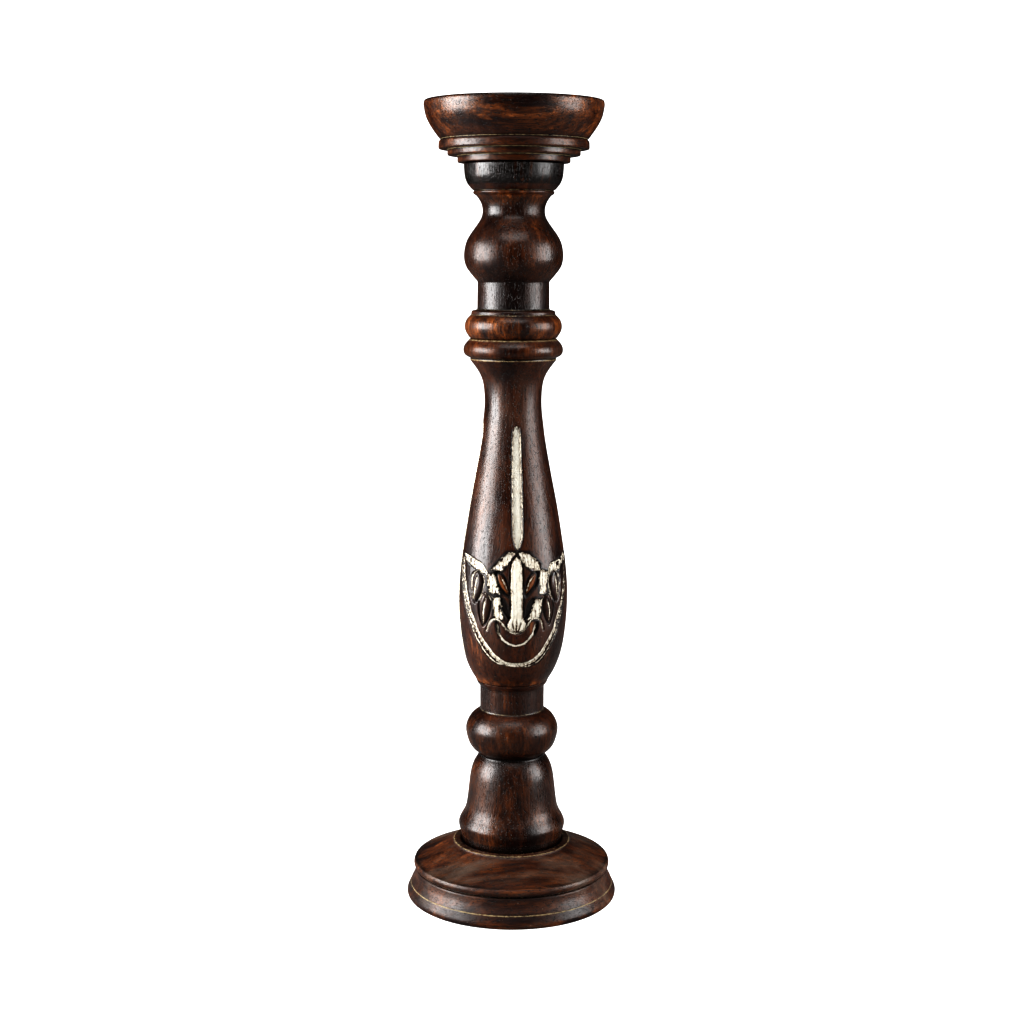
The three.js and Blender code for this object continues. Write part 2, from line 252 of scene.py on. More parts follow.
def subdivided(outline):
    """The outline with its long straight stretches split, so that they can carry detail."""
    points = [outline[0]]
    for before, after in zip(outline[:-1], outline[1:]):
        parts = max(1, math.ceil(np.linalg.norm(after - before) / LONGEST_STEP))
        points.extend(before + (after - before) * (i + 1) / parts for i in range(parts))
    return np.array(points)


def bends(outline, reach):
    """How hollow each point of an outline is, from -1 on a sharp edge to 1 in a sharp corner."""
    steps = np.linalg.norm(np.diff(outline, axis=0), axis=1)
    along = np.concatenate([[0], np.cumsum(steps)])
    ahead = np.stack([np.interp(along + reach, along, outline[:, i]) for i in (0, 1)], axis=1)
    behind = np.stack([np.interp(along - reach, along, outline[:, i]) for i in (0, 1)], axis=1)
    tangent = ahead - behind
    tangent /= np.linalg.norm(tangent, axis=1)[:, None] + TINY
    outward = np.stack([tangent[:, 1], -tangent[:, 0]], axis=1)
    middle = (ahead + behind) / 2 - outline
    return np.sum(middle * outward, axis=1) / (FULL_BEND * reach)


# ---- meshes

NO_RADIUS = 1e-6


def new_object(name, data):
    """Puts a mesh, a light or a camera into the scene."""
    made = bpy.data.objects.new(name, data)
    bpy.context.scene.collection.objects.link(made)
    return made


def finish_piece(mesh, name, replaced, material):
    """Makes a piece's object, with its material and body, and hides the CAD node that it replaces."""
    mesh.materials.append(material)
    mesh.shade_smooth()
    piece = new_object(name, mesh)
    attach(piece, BODY)
    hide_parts(replaced)
    return piece


def add_attribute(mesh, name, values):
    """Stores one number per vertex under a name that a material can read."""
    layer = mesh.attributes.new(name, "FLOAT", "POINT")
    layer.data.foreach_set("value", np.asarray(values, dtype=np.float32))


def places_round(radii, angles, heights):
    """The x, y and z of a grid of places: rows by height, columns by angle from the front."""
    level = heights[:, None] * np.ones(len(angles))
    return np.stack([radii * np.sin(angles), -radii * np.cos(angles), level], axis=-1)


def grid_mesh(name, radii, heights, angles, closed, centre=(0, 0)):
    """A surface of revolution with its own radius at each row and column.

    A row of zero radius is one vertex. Returns the mesh, and the row and column of each vertex.
    """
    rows, columns = radii.shape
    pole = np.all(radii < NO_RADIUS, axis=1)
    widths = np.where(pole, 1, columns)
    first = np.concatenate([[0], np.cumsum(widths)])
    row_of = np.repeat(np.arange(rows), widths)
    column_of = np.arange(len(row_of)) - first[row_of]
    spread = radii[row_of, column_of]
    turn = angles[column_of]
    points = np.stack([
        centre[0] + spread * np.sin(turn), centre[1] - spread * np.cos(turn), heights[row_of],
    ], axis=1) * MM
    pairs = [(i, i + 1) for i in range(rows - 1)]
    if closed:
        pairs.append((rows - 1, 0))
    faces = []
    for low, high in pairs:
        for j in range(columns):
            k = (j + 1) % columns
            below = [first[low]] * 2 if pole[low] else [first[low] + j, first[low] + k]
            above = [first[high]] * 2 if pole[high] else [first[high] + k, first[high] + j]
            corners = [int(corner) for corner in (*below, *above)]
            faces.append(list(dict.fromkeys(corners)))
    mesh = bpy.data.meshes.new(name)
    mesh.from_pydata(points.tolist(), [], faces)
    mesh.update()
    return mesh, row_of, column_of


# ---- wear, painted shade, and the turned pieces

FINE_REACH = 1.1
BROAD_REACH = 5
RING_FADE = 0.5
BLACK_FADE = 0.6
WORN_FADE = 2

SWELL_SIZE = 14
RIPPLE_SIZE = 4
RIPPLE_SHARE = 0.4

STEM_SIDES = 144
WIDE_SIDES = 208
PAN_SIDES = 160
PRICKET_SIDES = 48
PIN_SIDES = 32
PIN_COUNT = 3

# Black lies in bands: black lacquer on the cylinders and capital, black lines on an arris and a rim, a
# darker tone on the bell and ball, and painted shadow under the bell's bottom. Worn stain lies in bands
# too. A band is a low and a high height in mm, and a share. Old glaze lies in rings: a radius, a height
# and a reach in mm, and a share.
WEAR_AND_SHADOW = {
    "base_plinth": {
        "black": [(24.3, 25.1, 0.9)],
        "worn": [(0, 5, 0.4), (9, 19, 0.2), (20, 35, 0.35)],
        "rings": [(64.7, 9, 0.2, 0.7), (37, 37, 0.3, 0.6), (34.9, 37.1, 2.2, 0.3), (60.4, 19.4, 0.3, 0.4)],
    },
    "lower_stem": {
        # The first black band is painted shadow under the bell's bottom, where it curves in over the base.
        "black": [(30, 41.5, 0.8), (41.5, 120, 0.3), (122.8, 138, 0.45)],
        "worn": [(40, 90, 0.25), (98, 118, 0.3)],
        "rings": [(20.3, 122.9, 0.2, 0.45)],
    },
    "carved_vase": {
        "worn": [(142, 145, 0.7), (230, 330, 0.1), (346, 355, 0.25)],
        "rings": [(27.4, 356.4, 0.5, 0.6), (26.7, 344.2, 0.2, 0.8)],
    },
    "upper_stem": {
        "black": [(374.8, 391.2, 0.5), (392, 442, 0.25), (450, 464, 1)],
        "worn": [(358, 370, 0.85), (394, 430, 0.15), (438, 446, 0.6)],
        "rings": [(26, 371.3, 0.2, 0.5), (22.4, 374.6, 0.2, 0.45), (24.4, 446.2, 0.2, 0.4)],
    },
    "candle_dish": {
        "black": [(498.8, 501, 0.8)],
        "worn": [(463, 476, 0.4), (478, 500, 0.6)],
        "rings": [(34.3, 467.2, 0.3, 0.75), (40.4, 471, 0.3, 0.75), (44.6, 477, 0.1, 0.7)],
    },
}


def ring_share(outline, rings):
    """How much old glaze each point of an outline holds."""
    result = np.zeros(len(outline))
    for radius, height, reach, share in rings:
        distance = np.hypot(outline[:, 0] - radius, outline[:, 1] - height)
        result = np.maximum(result, share * (1 - smoothstep(distance, reach, reach + RING_FADE)))
    return result


def band_share(heights, bands, fade):
    """The share at each height, from bands with soft ends."""
    result = np.zeros(len(heights))
    for low, high, share in bands:
        rising = smoothstep(heights, low - fade, low + fade)
        falling = 1 - smoothstep(heights, high - fade, high + fade)
        result = np.maximum(result, share * rising * falling)
    return result


def add_wear_and_shade(mesh, node, outline, row_of, reach=FINE_REACH, worn_fade=WORN_FADE, carved=0.0):
    """Stores what the wood's material reads: corners and broad hollows for painted shade, edges, and the
    wear and painted shadow of a CAD node.

    carved is 1 where carving is deep, which has its own stain and painted shade, and is left without the
    corner shade.
    """
    bend, broad = bends(outline, reach), bends(outline, BROAD_REACH)
    wear_and_shadow, heights = WEAR_AND_SHADOW.get(node, {}), outline[:, 1]
    # Corners and broad hollows are stored for painted shade, and edges for wear.
    add_attribute(mesh, "hollow", np.clip(bend, 0, 1)[row_of] * (1 - carved))
    add_attribute(mesh, "edge", np.clip(-bend, 0, 1)[row_of])
    add_attribute(mesh, "broad", np.clip(broad, -1, 1)[row_of])
    add_attribute(mesh, "black", band_share(heights, wear_and_shadow.get("black", ()), BLACK_FADE)[row_of])
    add_attribute(mesh, "worn", band_share(heights, wear_and_shadow.get("worn", ()), worn_fade)[row_of])
    add_attribute(mesh, "pale", ring_share(outline, wear_and_shadow.get("rings", ()))[row_of])


def turned_piece(name, node, material, sides=STEM_SIDES, wobble=0.06):
    """Turns a CAD node again with fine, slightly uneven surfaces."""
    outline, closed = turned_outline(node)
    outline = subdivided(softened(outline, closed))
    angles = np.linspace(0, 2 * math.pi, sides, endpoint=False)
    heights = outline[:, 1]
    radii = np.repeat(outline[:, :1], sides, axis=1)
    around = places_round(radii, angles, heights)
    swell = value_noise(around, SWELL_SIZE, "swell")
    ripple = RIPPLE_SHARE * value_noise(around, RIPPLE_SIZE, "ripple")
    radii = np.where(radii > NO_RADIUS, radii + wobble * (swell + ripple), 0)
    mesh, row_of, _ = grid_mesh(name, radii, heights, angles, closed, node_axis(node))
    add_wear_and_shade(mesh, node, outline, row_of)
    return finish_piece(mesh, name, node, material)


# ---- the pattern of the carving
#
# Places are given as (u, v): u in mm to the right of a shield's centre line, measured round the
# vase, and v in mm above the vase's seat. A field is positive inside a shape, in mm to its edge.

SHIELD_LOW = 15.4
SHIELD_TIP = 81.8
SHIELD_HALF_ANGLE = 74.0
SHIELD_POWER = 2.4
SHIELD_LEAN = 0.012
SHIELD_POINTS = 61

# The ground behind the leaves is lowered, between these heights and out to this far.
GROUND_DEPTH = 0.55
GROUND_TOP = 78
GROUND_LOW = 36
GROUND_HALF_WIDTH = 33

GROOVE_HALF_WIDTH = 1.15
GROOVE_DEPTH = 1.0
SECOND_LINE_APART = 2.3
LOWEST_ALONG = 0.47

STEM_MIDDLE = -0.9
STEM = [(-5.6, 38.6), (-7.0, 41.8), (-4.5, 46), (-4.4, 76), (-3.4, 81), (-0.9, 83.4),
        (1.7, 81), (2.9, 76), (2.9, 46), (5.3, 42), (4.0, 38.6), (-0.9, 36.4)]
STEM_SPLITS = [(-0.9, 44.5), (-3.4, 42.5), (1.6, 42.5)]
SPLIT_FOOT = 37.2
BLOCKS = [
    [(-20.6, 72.8), (-15.0, 72.6), (-11.4, 60.2), (-18.9, 61.2)],
    [(-16.4, 58.4), (-11.6, 58.4), (-9.4, 45.2), (-14.8, 44.4)],
    [(14.4, 75.6), (20.4, 73.6), (20.2, 60.0), (14.4, 60.8)],
    [(11.4, 57.6), (16.6, 57.0), (13.9, 44.2), (7.0, 44.8)],
]
CROWN = [
    [(-1.4, 86.2), (-7.0, 86), (-17.2, 75.4), (-10.6, 74.4), (-4.4, 82.2)],
    [(0.4, 86.2), (7.0, 85.8), (14.8, 78.6), (13.6, 73.8), (9.6, 74.6), (2.6, 80.2)],
]
WINGS = [
    [(-40.8, 82.2), (-31.5, 80.8), (-24, 78.4), (-20.2, 73.6), (-23.6, 73.4), (-28.6, 75.2), (-36.6, 79)],
    [(40.0, 82.2), (31.4, 78.8), (23.2, 78), (21.4, 72.6), (25.4, 71.8), (30.6, 74), (36.4, 77.2)],
]
BASE_ARC = [(-20.2, 37.4), (-18.9, 42.6), (-15.8, 45), (-12.4, 44.4), (-9.8, 41.8), (-6.4, 38.2),
            (-1.0, 36.1), (3.8, 38.2), (7.0, 41.8), (9.4, 44.6), (12.6, 45), (15.8, 42.6), (16.8, 37.6)]
CRESCENT_ARC = [(-13.8, 41.6), (-11.8, 35.4), (-7.6, 30.4), (-1.0, 28.1), (5.0, 30.4), (9.4, 35.4),
                (12.2, 41)]

# Leaves are two ends and a half width. They and their veins are given for the right of a shield,
# and stand mirrored on its left, a touch further out.
HAND_SHIFT = -0.5
OUTER_LEAVES = [((28.7, 53.6), (26.2, 73.6), 5.2), ((22.3, 40.2), (21.0, 59.8), 4.7)]
OUTER_VEINS = [[(26.2, 71), (28.2, 64.4), (29.4, 56)], [(20.2, 57.4), (21.8, 50.4), (22.0, 42)]]
INNER_LEAF = ((5.4, 60), (12, 72.6), 2.5)
INNER_VEIN = [(11, 71.6), (8, 67.4), (5.8, 61.6)]
POCKETS = [((4.6, 57.6), (13.2, 74.4), 4.6), ((4.8, 43.2), (10.4, 58.2), 3.1)]
CRESCENT_HOLLOW = ((10.6, 33.8), (13.4, 43.4), 1.9)
LEAF_PALE_ABOVE = 56.0

FLUTES = [
    {"angle": 0, "low": 87.6, "high": 161.5, "half_width": 3.6, "depth": 1.5, "blunt": True,
     "thickest": 2.0},
    {"angle": 90, "low": 12, "high": 165, "half_width": 5.8, "depth": 0.35, "blunt": False,
     "thickest": 1.5},
]
FLUTE_END = 9

# Paint is a field too. A thin line's is steep, or the crumbling would break the line up.
NO_PAINT = -2.0
FULL_PAINT = 2.0
THIN_LINE = 2.2
STROKE_SPACING = 2.6
BLANK_FIELDS = {"height": 0.0, "paint": NO_PAINT, "dark": 0.0, "rub": 0.0}


def curve_through(points, steps=6):
    """A smooth line through a few points, as many short straight ones."""
    points = np.array(points, dtype=float)
    padded = np.vstack([2 * points[0] - points[1], points, 2 * points[-1] - points[-2]])
    line = [points[0]]
    for i in range(1, len(padded) - 2):
        a, b, c, d = padded[i - 1:i + 3]
        for step in range(1, steps + 1):
            t = step / steps
            line.append(0.5 * (2 * b + (c - a) * t + (2 * a - 5 * b + 4 * c - d) * t ** 2
                               + (3 * b - a - 3 * c + d) * t ** 3))
    return np.array(line)


def line_distance(u, v, line):
    """How far points are from a line of short straight stretches, and how far along it they lie."""
    best = np.full(u.shape, np.inf)
    along = np.zeros(u.shape)
    for i in range(len(line) - 1):
        (au, av), (bu, bv) = line[i], line[i + 1]
        du, dv = bu - au, bv - av
        t = np.clip(((u - au) * du + (v - av) * dv) / (du * du + dv * dv + TINY), 0, 1)
        distance = np.hypot(u - au - t * du, v - av - t * dv)
        nearer = distance < best
        best = np.where(nearer, distance, best)
        along = np.where(nearer, (i + t) / (len(line) - 1), along)
    return best, along


def polygon_field(u, v, corners):
    """The field of a polygon."""
    closed = [*corners, corners[0]]
    distance, _ = line_distance(u, v, closed)
    inside = np.zeros(u.shape, dtype=bool)
    for (au, av), (bu, bv) in zip(closed[:-1], closed[1:]):
        crosses = (av > v) != (bv > v)
        at = au + (v - av) * (bu - au) / (bv - av + TINY)
        inside ^= crosses & (u < at)
    return np.where(inside, distance, -distance)


def leaf_field(u, v, low, high, half_width):
    """The field of a pointed leaf between two points, widest nearer its upper end."""
    (au, av), (bu, bv) = low, high
    length = math.hypot(bu - au, bv - av)
    du, dv = (bu - au) / length, (bv - av) / length
    along = ((u - au) * du + (v - av) * dv) / length
    across = np.abs((u - au) * dv - (v - av) * du)
    low_power, high_power, widest = 0.85, 0.5, 0.453
    swell = np.clip(along, 0, 1) ** low_power * (1 - np.clip(along, 0, 1)) ** high_power
    beyond = length * np.maximum(np.maximum(-along, along - 1), 0)
    return half_width * swell / widest - across - beyond


def mirrored(points, side):
    """Points given for the right of a shield, on its left when side is -1."""
    return [(side * u + HAND_SHIFT, v) for u, v in points]


# ---- carving


class Relief:
    """A patch of the vase while it is carved: its height off the side in mm, paint, dark (stain and
    painted shade) and rub.
    """

    def __init__(self, fields, near, u, v, points):
        self.near = near
        self.u, self.v, self.points = u, v, points
        self.height, self.paint, self.dark, self.rub = (fields[name][:, near] for name in BLANK_FIELDS)
        self.ragged = value_noise(points, 1.6, "ragged") + 0.6 * value_noise(points, 0.8, "fray")

    def keep(self, fields):
        """Puts the patch back into the fields of the whole vase."""
        for name in BLANK_FIELDS:
            fields[name][:, self.near] = getattr(self, name)

    def leaf(self, shape, side=1):
        """The field of a leaf, given as its ends and half width, on one side of the shield."""
        *ends, half_width = shape
        return leaf_field(self.u, self.v, *mirrored(ends, side), half_width)

    def sink(self, field, depth, wall=0.8):
        """Brings the floor of a shape to a height, with walls of a width."""
        share = smoothstep(field, -0.1, wall)
        self.height = self.height * (1 - share) + depth * share

    def line(self, distance, width, depth):
        """Cuts a rounded groove along a line."""
        self.height -= depth * np.clip(1 - (distance / width) ** 2, 0, 1)

    def brush(self, field, thickest=FULL_PAINT, crisp=1.0):
        """Lays paint where a field is positive. Thin paint shows the wood, crisp paint is unbroken."""
        self.paint = np.maximum(self.paint, np.clip(crisp * field, NO_PAINT, thickest))

    def wipe(self, field):
        """Takes paint off where a field is positive."""
        self.paint = np.minimum(self.paint, np.clip(-field, NO_PAINT, FULL_PAINT))

    def stain_and_shade(self, share):
        """Darkens the wood: dark stain, and painted shade in the cuts and along their edges."""
        self.dark = np.maximum(self.dark, share)

    def pocket(self, field):
        """A deep hollow between the leaves, darkened with painted shade."""
        self.sink(field, -2.0, 1.0)
        self.wipe(field)
        self.stain_and_shade(smoothstep(field, -0.5, 0.3))

    def crescent_hollow(self, field):
        """A shallower hollow at a horn of the crescent, darkened with stain and painted shade."""
        self.sink(field, -1.1, 1)
        self.stain_and_shade(smoothstep(field, -0.6, 0.4))

    def inner_leaf(self, field):
        """A small rubbed leaf that stands in a pocket."""
        share = smoothstep(field, -0.1, 0.6)
        self.height = self.height * (1 - share) + (-1.1 + 0.16 * np.clip(field, 0, 2)) * share
        self.dark *= 1 - 0.9 * share
        self.rub = np.maximum(self.rub, share)

    def block(self, field, chipped=1.4):
        """A painted field with a rough floor, chipped edges and a few bare strokes."""
        chips = value_noise(self.points, 2.4, "chips")
        rough = field + 0.8 * self.ragged - chipped * smoothstep(chips, 0.25, 0.6)
        self.sink(field, -0.8, 0.6)
        self.height += 0.22 * self.ragged * smoothstep(field, 0, 1)
        self.brush(rough - 0.1, 1.0)
        wander = 0.5 * value_noise(self.points, 6, "strokes")
        stroke = STROKE_SPACING * np.abs((self.u / STROKE_SPACING + wander) % 1 - 0.5)
        bare = THIN_LINE * (0.1 + 0.15 * self.ragged - stroke)
        self.wipe(np.where(field > 0, bare, NO_PAINT))
        # Stain and painted shade along the block's sunken edge.
        self.stain_and_shade(smoothstep(1.3 - np.abs(field + 0.6), 0, 0.8))

    def outer_leaf(self, field):
        """A plump wooden leaf in a cut darkened by stain and painted shade, with a pale line round its
        upper part.
        """
        inside = smoothstep(field, 0, 0.5)
        self.wipe(field)
        self.height = self.height * (1 - inside) + (-0.35 + 0.75 * smoothstep(field, 0, 3.2)) * inside
        self.line(np.abs(field), 0.9, 0.9)
        self.stain_and_shade(smoothstep(0.8 - np.abs(field), 0, 0.6))
        pale = 0.34 - np.abs(field + 0.25) + 0.12 * self.ragged
        self.brush(np.where(self.v > LEAF_PALE_ABOVE, pale, -1), crisp=THIN_LINE)

    def vein(self, points, width):
        """A painted line down a leaf that tapers at both ends."""
        distance, along = line_distance(self.u, self.v, curve_through(points))
        taper = np.clip(1.3 * np.sin(math.pi * np.clip(along * 0.92 + 0.05, 0, 1)), 0.15, 1)
        self.line(distance, 2 * width * taper, 0.5)
        # Stain and painted shade along both sides of the vein's groove.
        self.stain_and_shade(smoothstep(1.0 - distance, 0, 0.6) * smoothstep(distance, 0.2, 0.6))
        self.brush(width * taper - distance + 0.1 * self.ragged, crisp=THIN_LINE)

    def painted_line(self, points, width):
        """A painted groove of even width, with edges darkened by stain and painted shade."""
        distance, _ = line_distance(self.u, self.v, curve_through(points))
        self.line(distance, 1.8 * width, 0.8)
        edge = smoothstep(2.2 * width - distance, 0, 0.6)
        self.stain_and_shade(edge * smoothstep(distance, 0.4 * width, width))
        self.brush(width - distance + 0.2 * self.ragged, crisp=THIN_LINE)


def carve_shield(relief, side_line):
    """One shield: its framing groove, leaves, pockets, stem, blocks, crown and wings."""
    u, v = relief.u, relief.v
    scallops = 5 * np.cos(np.clip(u, -34, 34) * math.pi / 17)
    ground = smoothstep(GROUND_TOP + scallops - v, -0.5, 1.5)
    ground = ground * smoothstep(v, GROUND_LOW, GROUND_LOW + 10)
    ground = ground * smoothstep(GROUND_HALF_WIDTH - np.abs(u), 0, 4)
    relief.height -= GROUND_DEPTH * ground
    for side in (-1, 1):
        for shape in POCKETS:
            relief.pocket(relief.leaf(shape, side))
        relief.crescent_hollow(relief.leaf(CRESCENT_HOLLOW, side))
        relief.inner_leaf(relief.leaf(INNER_LEAF, side))
        relief.vein(mirrored(INNER_VEIN, side), 0.38)
    for shape in (*BLOCKS, *CROWN):
        relief.block(polygon_field(u, v, shape))
    for shape in WINGS:
        relief.block(polygon_field(u, v, shape), chipped=2.6)
        relief.painted_line([*shape, shape[0]], 0.4)
    for side in (-1, 1):
        for shape in OUTER_LEAVES:
            relief.outer_leaf(relief.leaf(shape, side))
        for vein in OUTER_VEINS:
            relief.vein(mirrored(vein, side), 0.5)
    carve_stem(relief)
    relief.painted_line(CRESCENT_ARC, 0.62)
    carve_framing_groove(relief, side_line)


def carve_stem(relief):
    """The upright stem in the middle of a shield, with its split foot on an arc."""
    u, v = relief.u, relief.v
    field = polygon_field(u, v, STEM)
    inside = smoothstep(field, -0.1, 0.7)
    flutes = 0.16 * np.sin(u * 2.9 + 0.6 * value_noise(relief.points, 9, "stem"))
    relief.height = relief.height * (1 - inside) + (-0.25 + flutes) * inside
    relief.line(np.abs(field + 0.5), 0.8, 1.0)
    # Stain and painted shade in the groove round the stem.
    relief.stain_and_shade(smoothstep(0.75 - np.abs(field + 0.55), 0, 0.5))
    relief.dark *= 1 - smoothstep(field, -0.1, 0.5)
    relief.painted_line(BASE_ARC, 0.5)
    relief.brush(field - 0.1 + 0.2 * relief.ragged)
    for end_u, end_v in STEM_SPLITS:
        foot = ((STEM_MIDDLE + end_u) / 2, SPLIT_FOOT)
        split, along = line_distance(u, v, [foot, (end_u, end_v)])
        relief.line(split, 0.6, 0.6)
        relief.wipe(0.28 * (1.1 - along) - split)


def carve_framing_groove(relief, side_line):
    """The painted U that frames a shield, with a finer line outside it."""
    across = np.linspace(-1, 1, SHIELD_POINTS)
    rise = np.abs(across + SHIELD_LEAN) ** SHIELD_POWER
    heights = SHIELD_LOW + (SHIELD_TIP - SHIELD_LOW) * rise
    radii = np.interp(heights, *side_line)
    groove = np.stack([np.radians(across * SHIELD_HALF_ANGLE) * radii, heights], axis=1)
    distance, along = line_distance(relief.u, relief.v, groove)
    outside = relief.v < np.interp(relief.u, groove[:, 0], groove[:, 1])
    offset = np.where(outside, distance, -distance)
    wavy = 0.25 * value_noise(relief.points, 5, "groove")
    from_middle = np.abs(offset + wavy)
    relief.height -= GROOVE_DEPTH * np.clip(1 - (from_middle / (1.45 * GROOVE_HALF_WIDTH)) ** 4, 0, 1)
    relief.height += 0.18 * relief.ragged * smoothstep(1.4 - distance, 0, 0.5)
    # Stain and painted shade along both edges of the groove.
    relief.stain_and_shade(smoothstep(1.9 - from_middle, 0, 0.5) * smoothstep(distance, 0.9, 1.3))
    relief.brush(GROOVE_HALF_WIDTH - from_middle + 0.22 * relief.ragged, crisp=1.6)
    relief.wipe(THIN_LINE * (0.08 + 0.12 * relief.ragged - np.abs(offset - 0.35 + wavy)))
    apart = SECOND_LINE_APART * smoothstep(np.abs(along - LOWEST_ALONG), 0.02, 0.16)
    second = np.abs(offset - 0.4 - apart - wavy)
    relief.line(second, 0.8, 0.6)
    # Stain and painted shade along the finer outer line.
    relief.stain_and_shade(0.9 * smoothstep(1.1 - second, 0, 0.5))
    fainter = 0.2 * smoothstep(np.sign(relief.u), 0, 1)
    relief.brush(0.42 - second + 0.12 * relief.ragged - fainter, crisp=THIN_LINE)


def carve_flute(relief, flute):
    """A straight painted channel: its lower end runs to a point, its top is blunt or pointed too."""
    u, v = relief.u, relief.v
    low, high = flute["low"], flute["high"]
    width = flute["half_width"] * (1 - 0.22 * smoothstep(v, (low + high) / 2, high))
    width = width * np.sqrt(np.clip((v - low) / FLUTE_END, 0, 1))
    if flute["blunt"]:
        top = high + 2.2 * np.sin(u * 0.9 + 1) + 1.2 * value_noise(relief.points, 2.5, "flute_top")
        width = np.minimum(width, 3.2 * (top - v))
    else:
        width = width * np.sqrt(np.clip((high - v) / FLUTE_END, 0, 1))
    field = np.where((v > low - 1) & (v < high + 4), width - np.abs(u), NO_PAINT)
    field = field + 0.12 * value_noise(relief.points, 6, "flute_side")
    relief.sink(field, -flute["depth"], 1.0)
    # Stain and painted shade along the channel's walls.
    relief.stain_and_shade(smoothstep(0.8 - np.abs(field), 0, 0.5))
    relief.wipe(field + 0.6)
    relief.brush(field - 0.5 + 0.12 * relief.ragged, flute["thickest"])


# ---- the carved vase

VASE_NODE = "carved_vase"
SOCKET_LIMIT = 12
SOCKET_PLAY = 0.3
FULL_RING = 10

# Rows of vertices up the vase: first height, end and spacing in mm.
LOWEST_ROWS = [0.05, 0.4]
ROW_SPANS = [(1, 12.4, 0.9), (12.6, 88.4, 0.48), (89.5, 166, 2.1), (167, 198, 2.4)]
TORUS_START, TORUS_STEP = 198.6, 0.45

# Columns round each half of the vase lie closest within this angle of a shield's centre line.
FINE_ANGLE = 50
FINE_COLUMNS = 128
COARSE_COLUMNS = 56

SHIELD_SECTOR = 92
FLUTE_SECTOR = 24
WARP = 0.35
WARP_SIZE = 7
VASE_SWELL, VASE_SWELL_SIZE = 0.08, 16
VASE_RIPPLE, VASE_RIPPLE_SIZE = 0.03, 5
VASE_REACH = 1.3
VASE_WORN_FADE = 3


def vase_side(seat):
    """The vase's turned side: rising heights above its seat, and the radius at each.

    The CAD node is carved, so each radius is the largest in a nearly whole ring of its vertices.
    """
    points, _ = node_vertices(VASE_NODE)
    radius = np.hypot(points[:, 0], points[:, 1])
    heights = np.round(points[:, 2], 2)
    turns = np.degrees(np.arctan2(points[:, 0], -points[:, 1])) / (360 / CAD_SIDES)
    on_ring = (np.abs(turns - np.round(turns)) < 0.005) & (radius > SOCKET_LIMIT)
    side = []
    for height in np.unique(heights[on_ring]):
        ring = on_ring & (heights == height)
        if len(np.unique(np.round(turns[ring]))) >= FULL_RING:
            side.append((radius[ring].max(), height))
    side = softened(np.array(side), False)
    side = side[np.argsort(side[:, 1])]
    return side[:, 1] - seat, side[:, 0]


def vase_rows(length):
    """The heights above the seat of the rows of vertices up the vase's side."""
    spans = [np.arange(*span) for span in (*ROW_SPANS, (TORUS_START, length - 0.1, TORUS_STEP))]
    return np.concatenate([LOWEST_ROWS, *spans, [length]])


def vase_columns():
    """The angle of each column of vertices, in degrees from the front."""
    fine = np.linspace(-FINE_ANGLE, FINE_ANGLE, FINE_COLUMNS, endpoint=False)
    coarse = np.linspace(FINE_ANGLE, 180 - FINE_ANGLE, COARSE_COLUMNS, endpoint=False)
    half = np.concatenate([fine, coarse])
    return np.concatenate([half, half + 180])


def sector(degrees, centre, reach):
    """Which columns are within reach of an angle, and their own angles from it."""
    around = (degrees - centre + 180) % 360 - 180
    near = np.abs(around) <= reach
    return near, around[near]


def carve_side(degrees, radii, points, side_line):
    """Carves two shields and four flutes. Returns the carving's fields at every vertex."""
    fields = {name: np.full(radii.shape, blank) for name, blank in BLANK_FIELDS.items()}
    v = points[..., 2]
    warp_u = WARP * value_noise(points, WARP_SIZE, "warp_across")
    warp_v = WARP * value_noise(points, WARP_SIZE, "warp_along")
    for centre, hand in ((0, 1), (180, -1)):
        near, around = sector(degrees, centre, SHIELD_SECTOR)
        u = hand * np.radians(around) * radii[:, near] + warp_u[:, near]
        relief = Relief(fields, near, u, v[:, near] + warp_v[:, near], points[:, near])
        carve_shield(relief, side_line)
        relief.keep(fields)
    for centre in (0, 180):
        for flute in FLUTES:
            near, around = sector(degrees, centre + flute["angle"], FLUTE_SECTOR)
            u = np.radians(around) * radii[:, near] + warp_u[:, near] / 2
            relief = Relief(fields, near, u, v[:, near], points[:, near])
            carve_flute(relief, flute)
            relief.keep(fields)
    return fields


def socket(dowel, face, inward):
    """The outline of a dowel's socket, from the axis to a face of the vase. inward is 1 for up."""
    low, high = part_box(dowel)
    end = high[2] if inward > 0 else low[2]
    bottom = end / MM + inward * SOCKET_PLAY
    radius = high[0] / MM + SOCKET_PLAY
    return np.array([(0, bottom), (radius, bottom), (radius, face)])


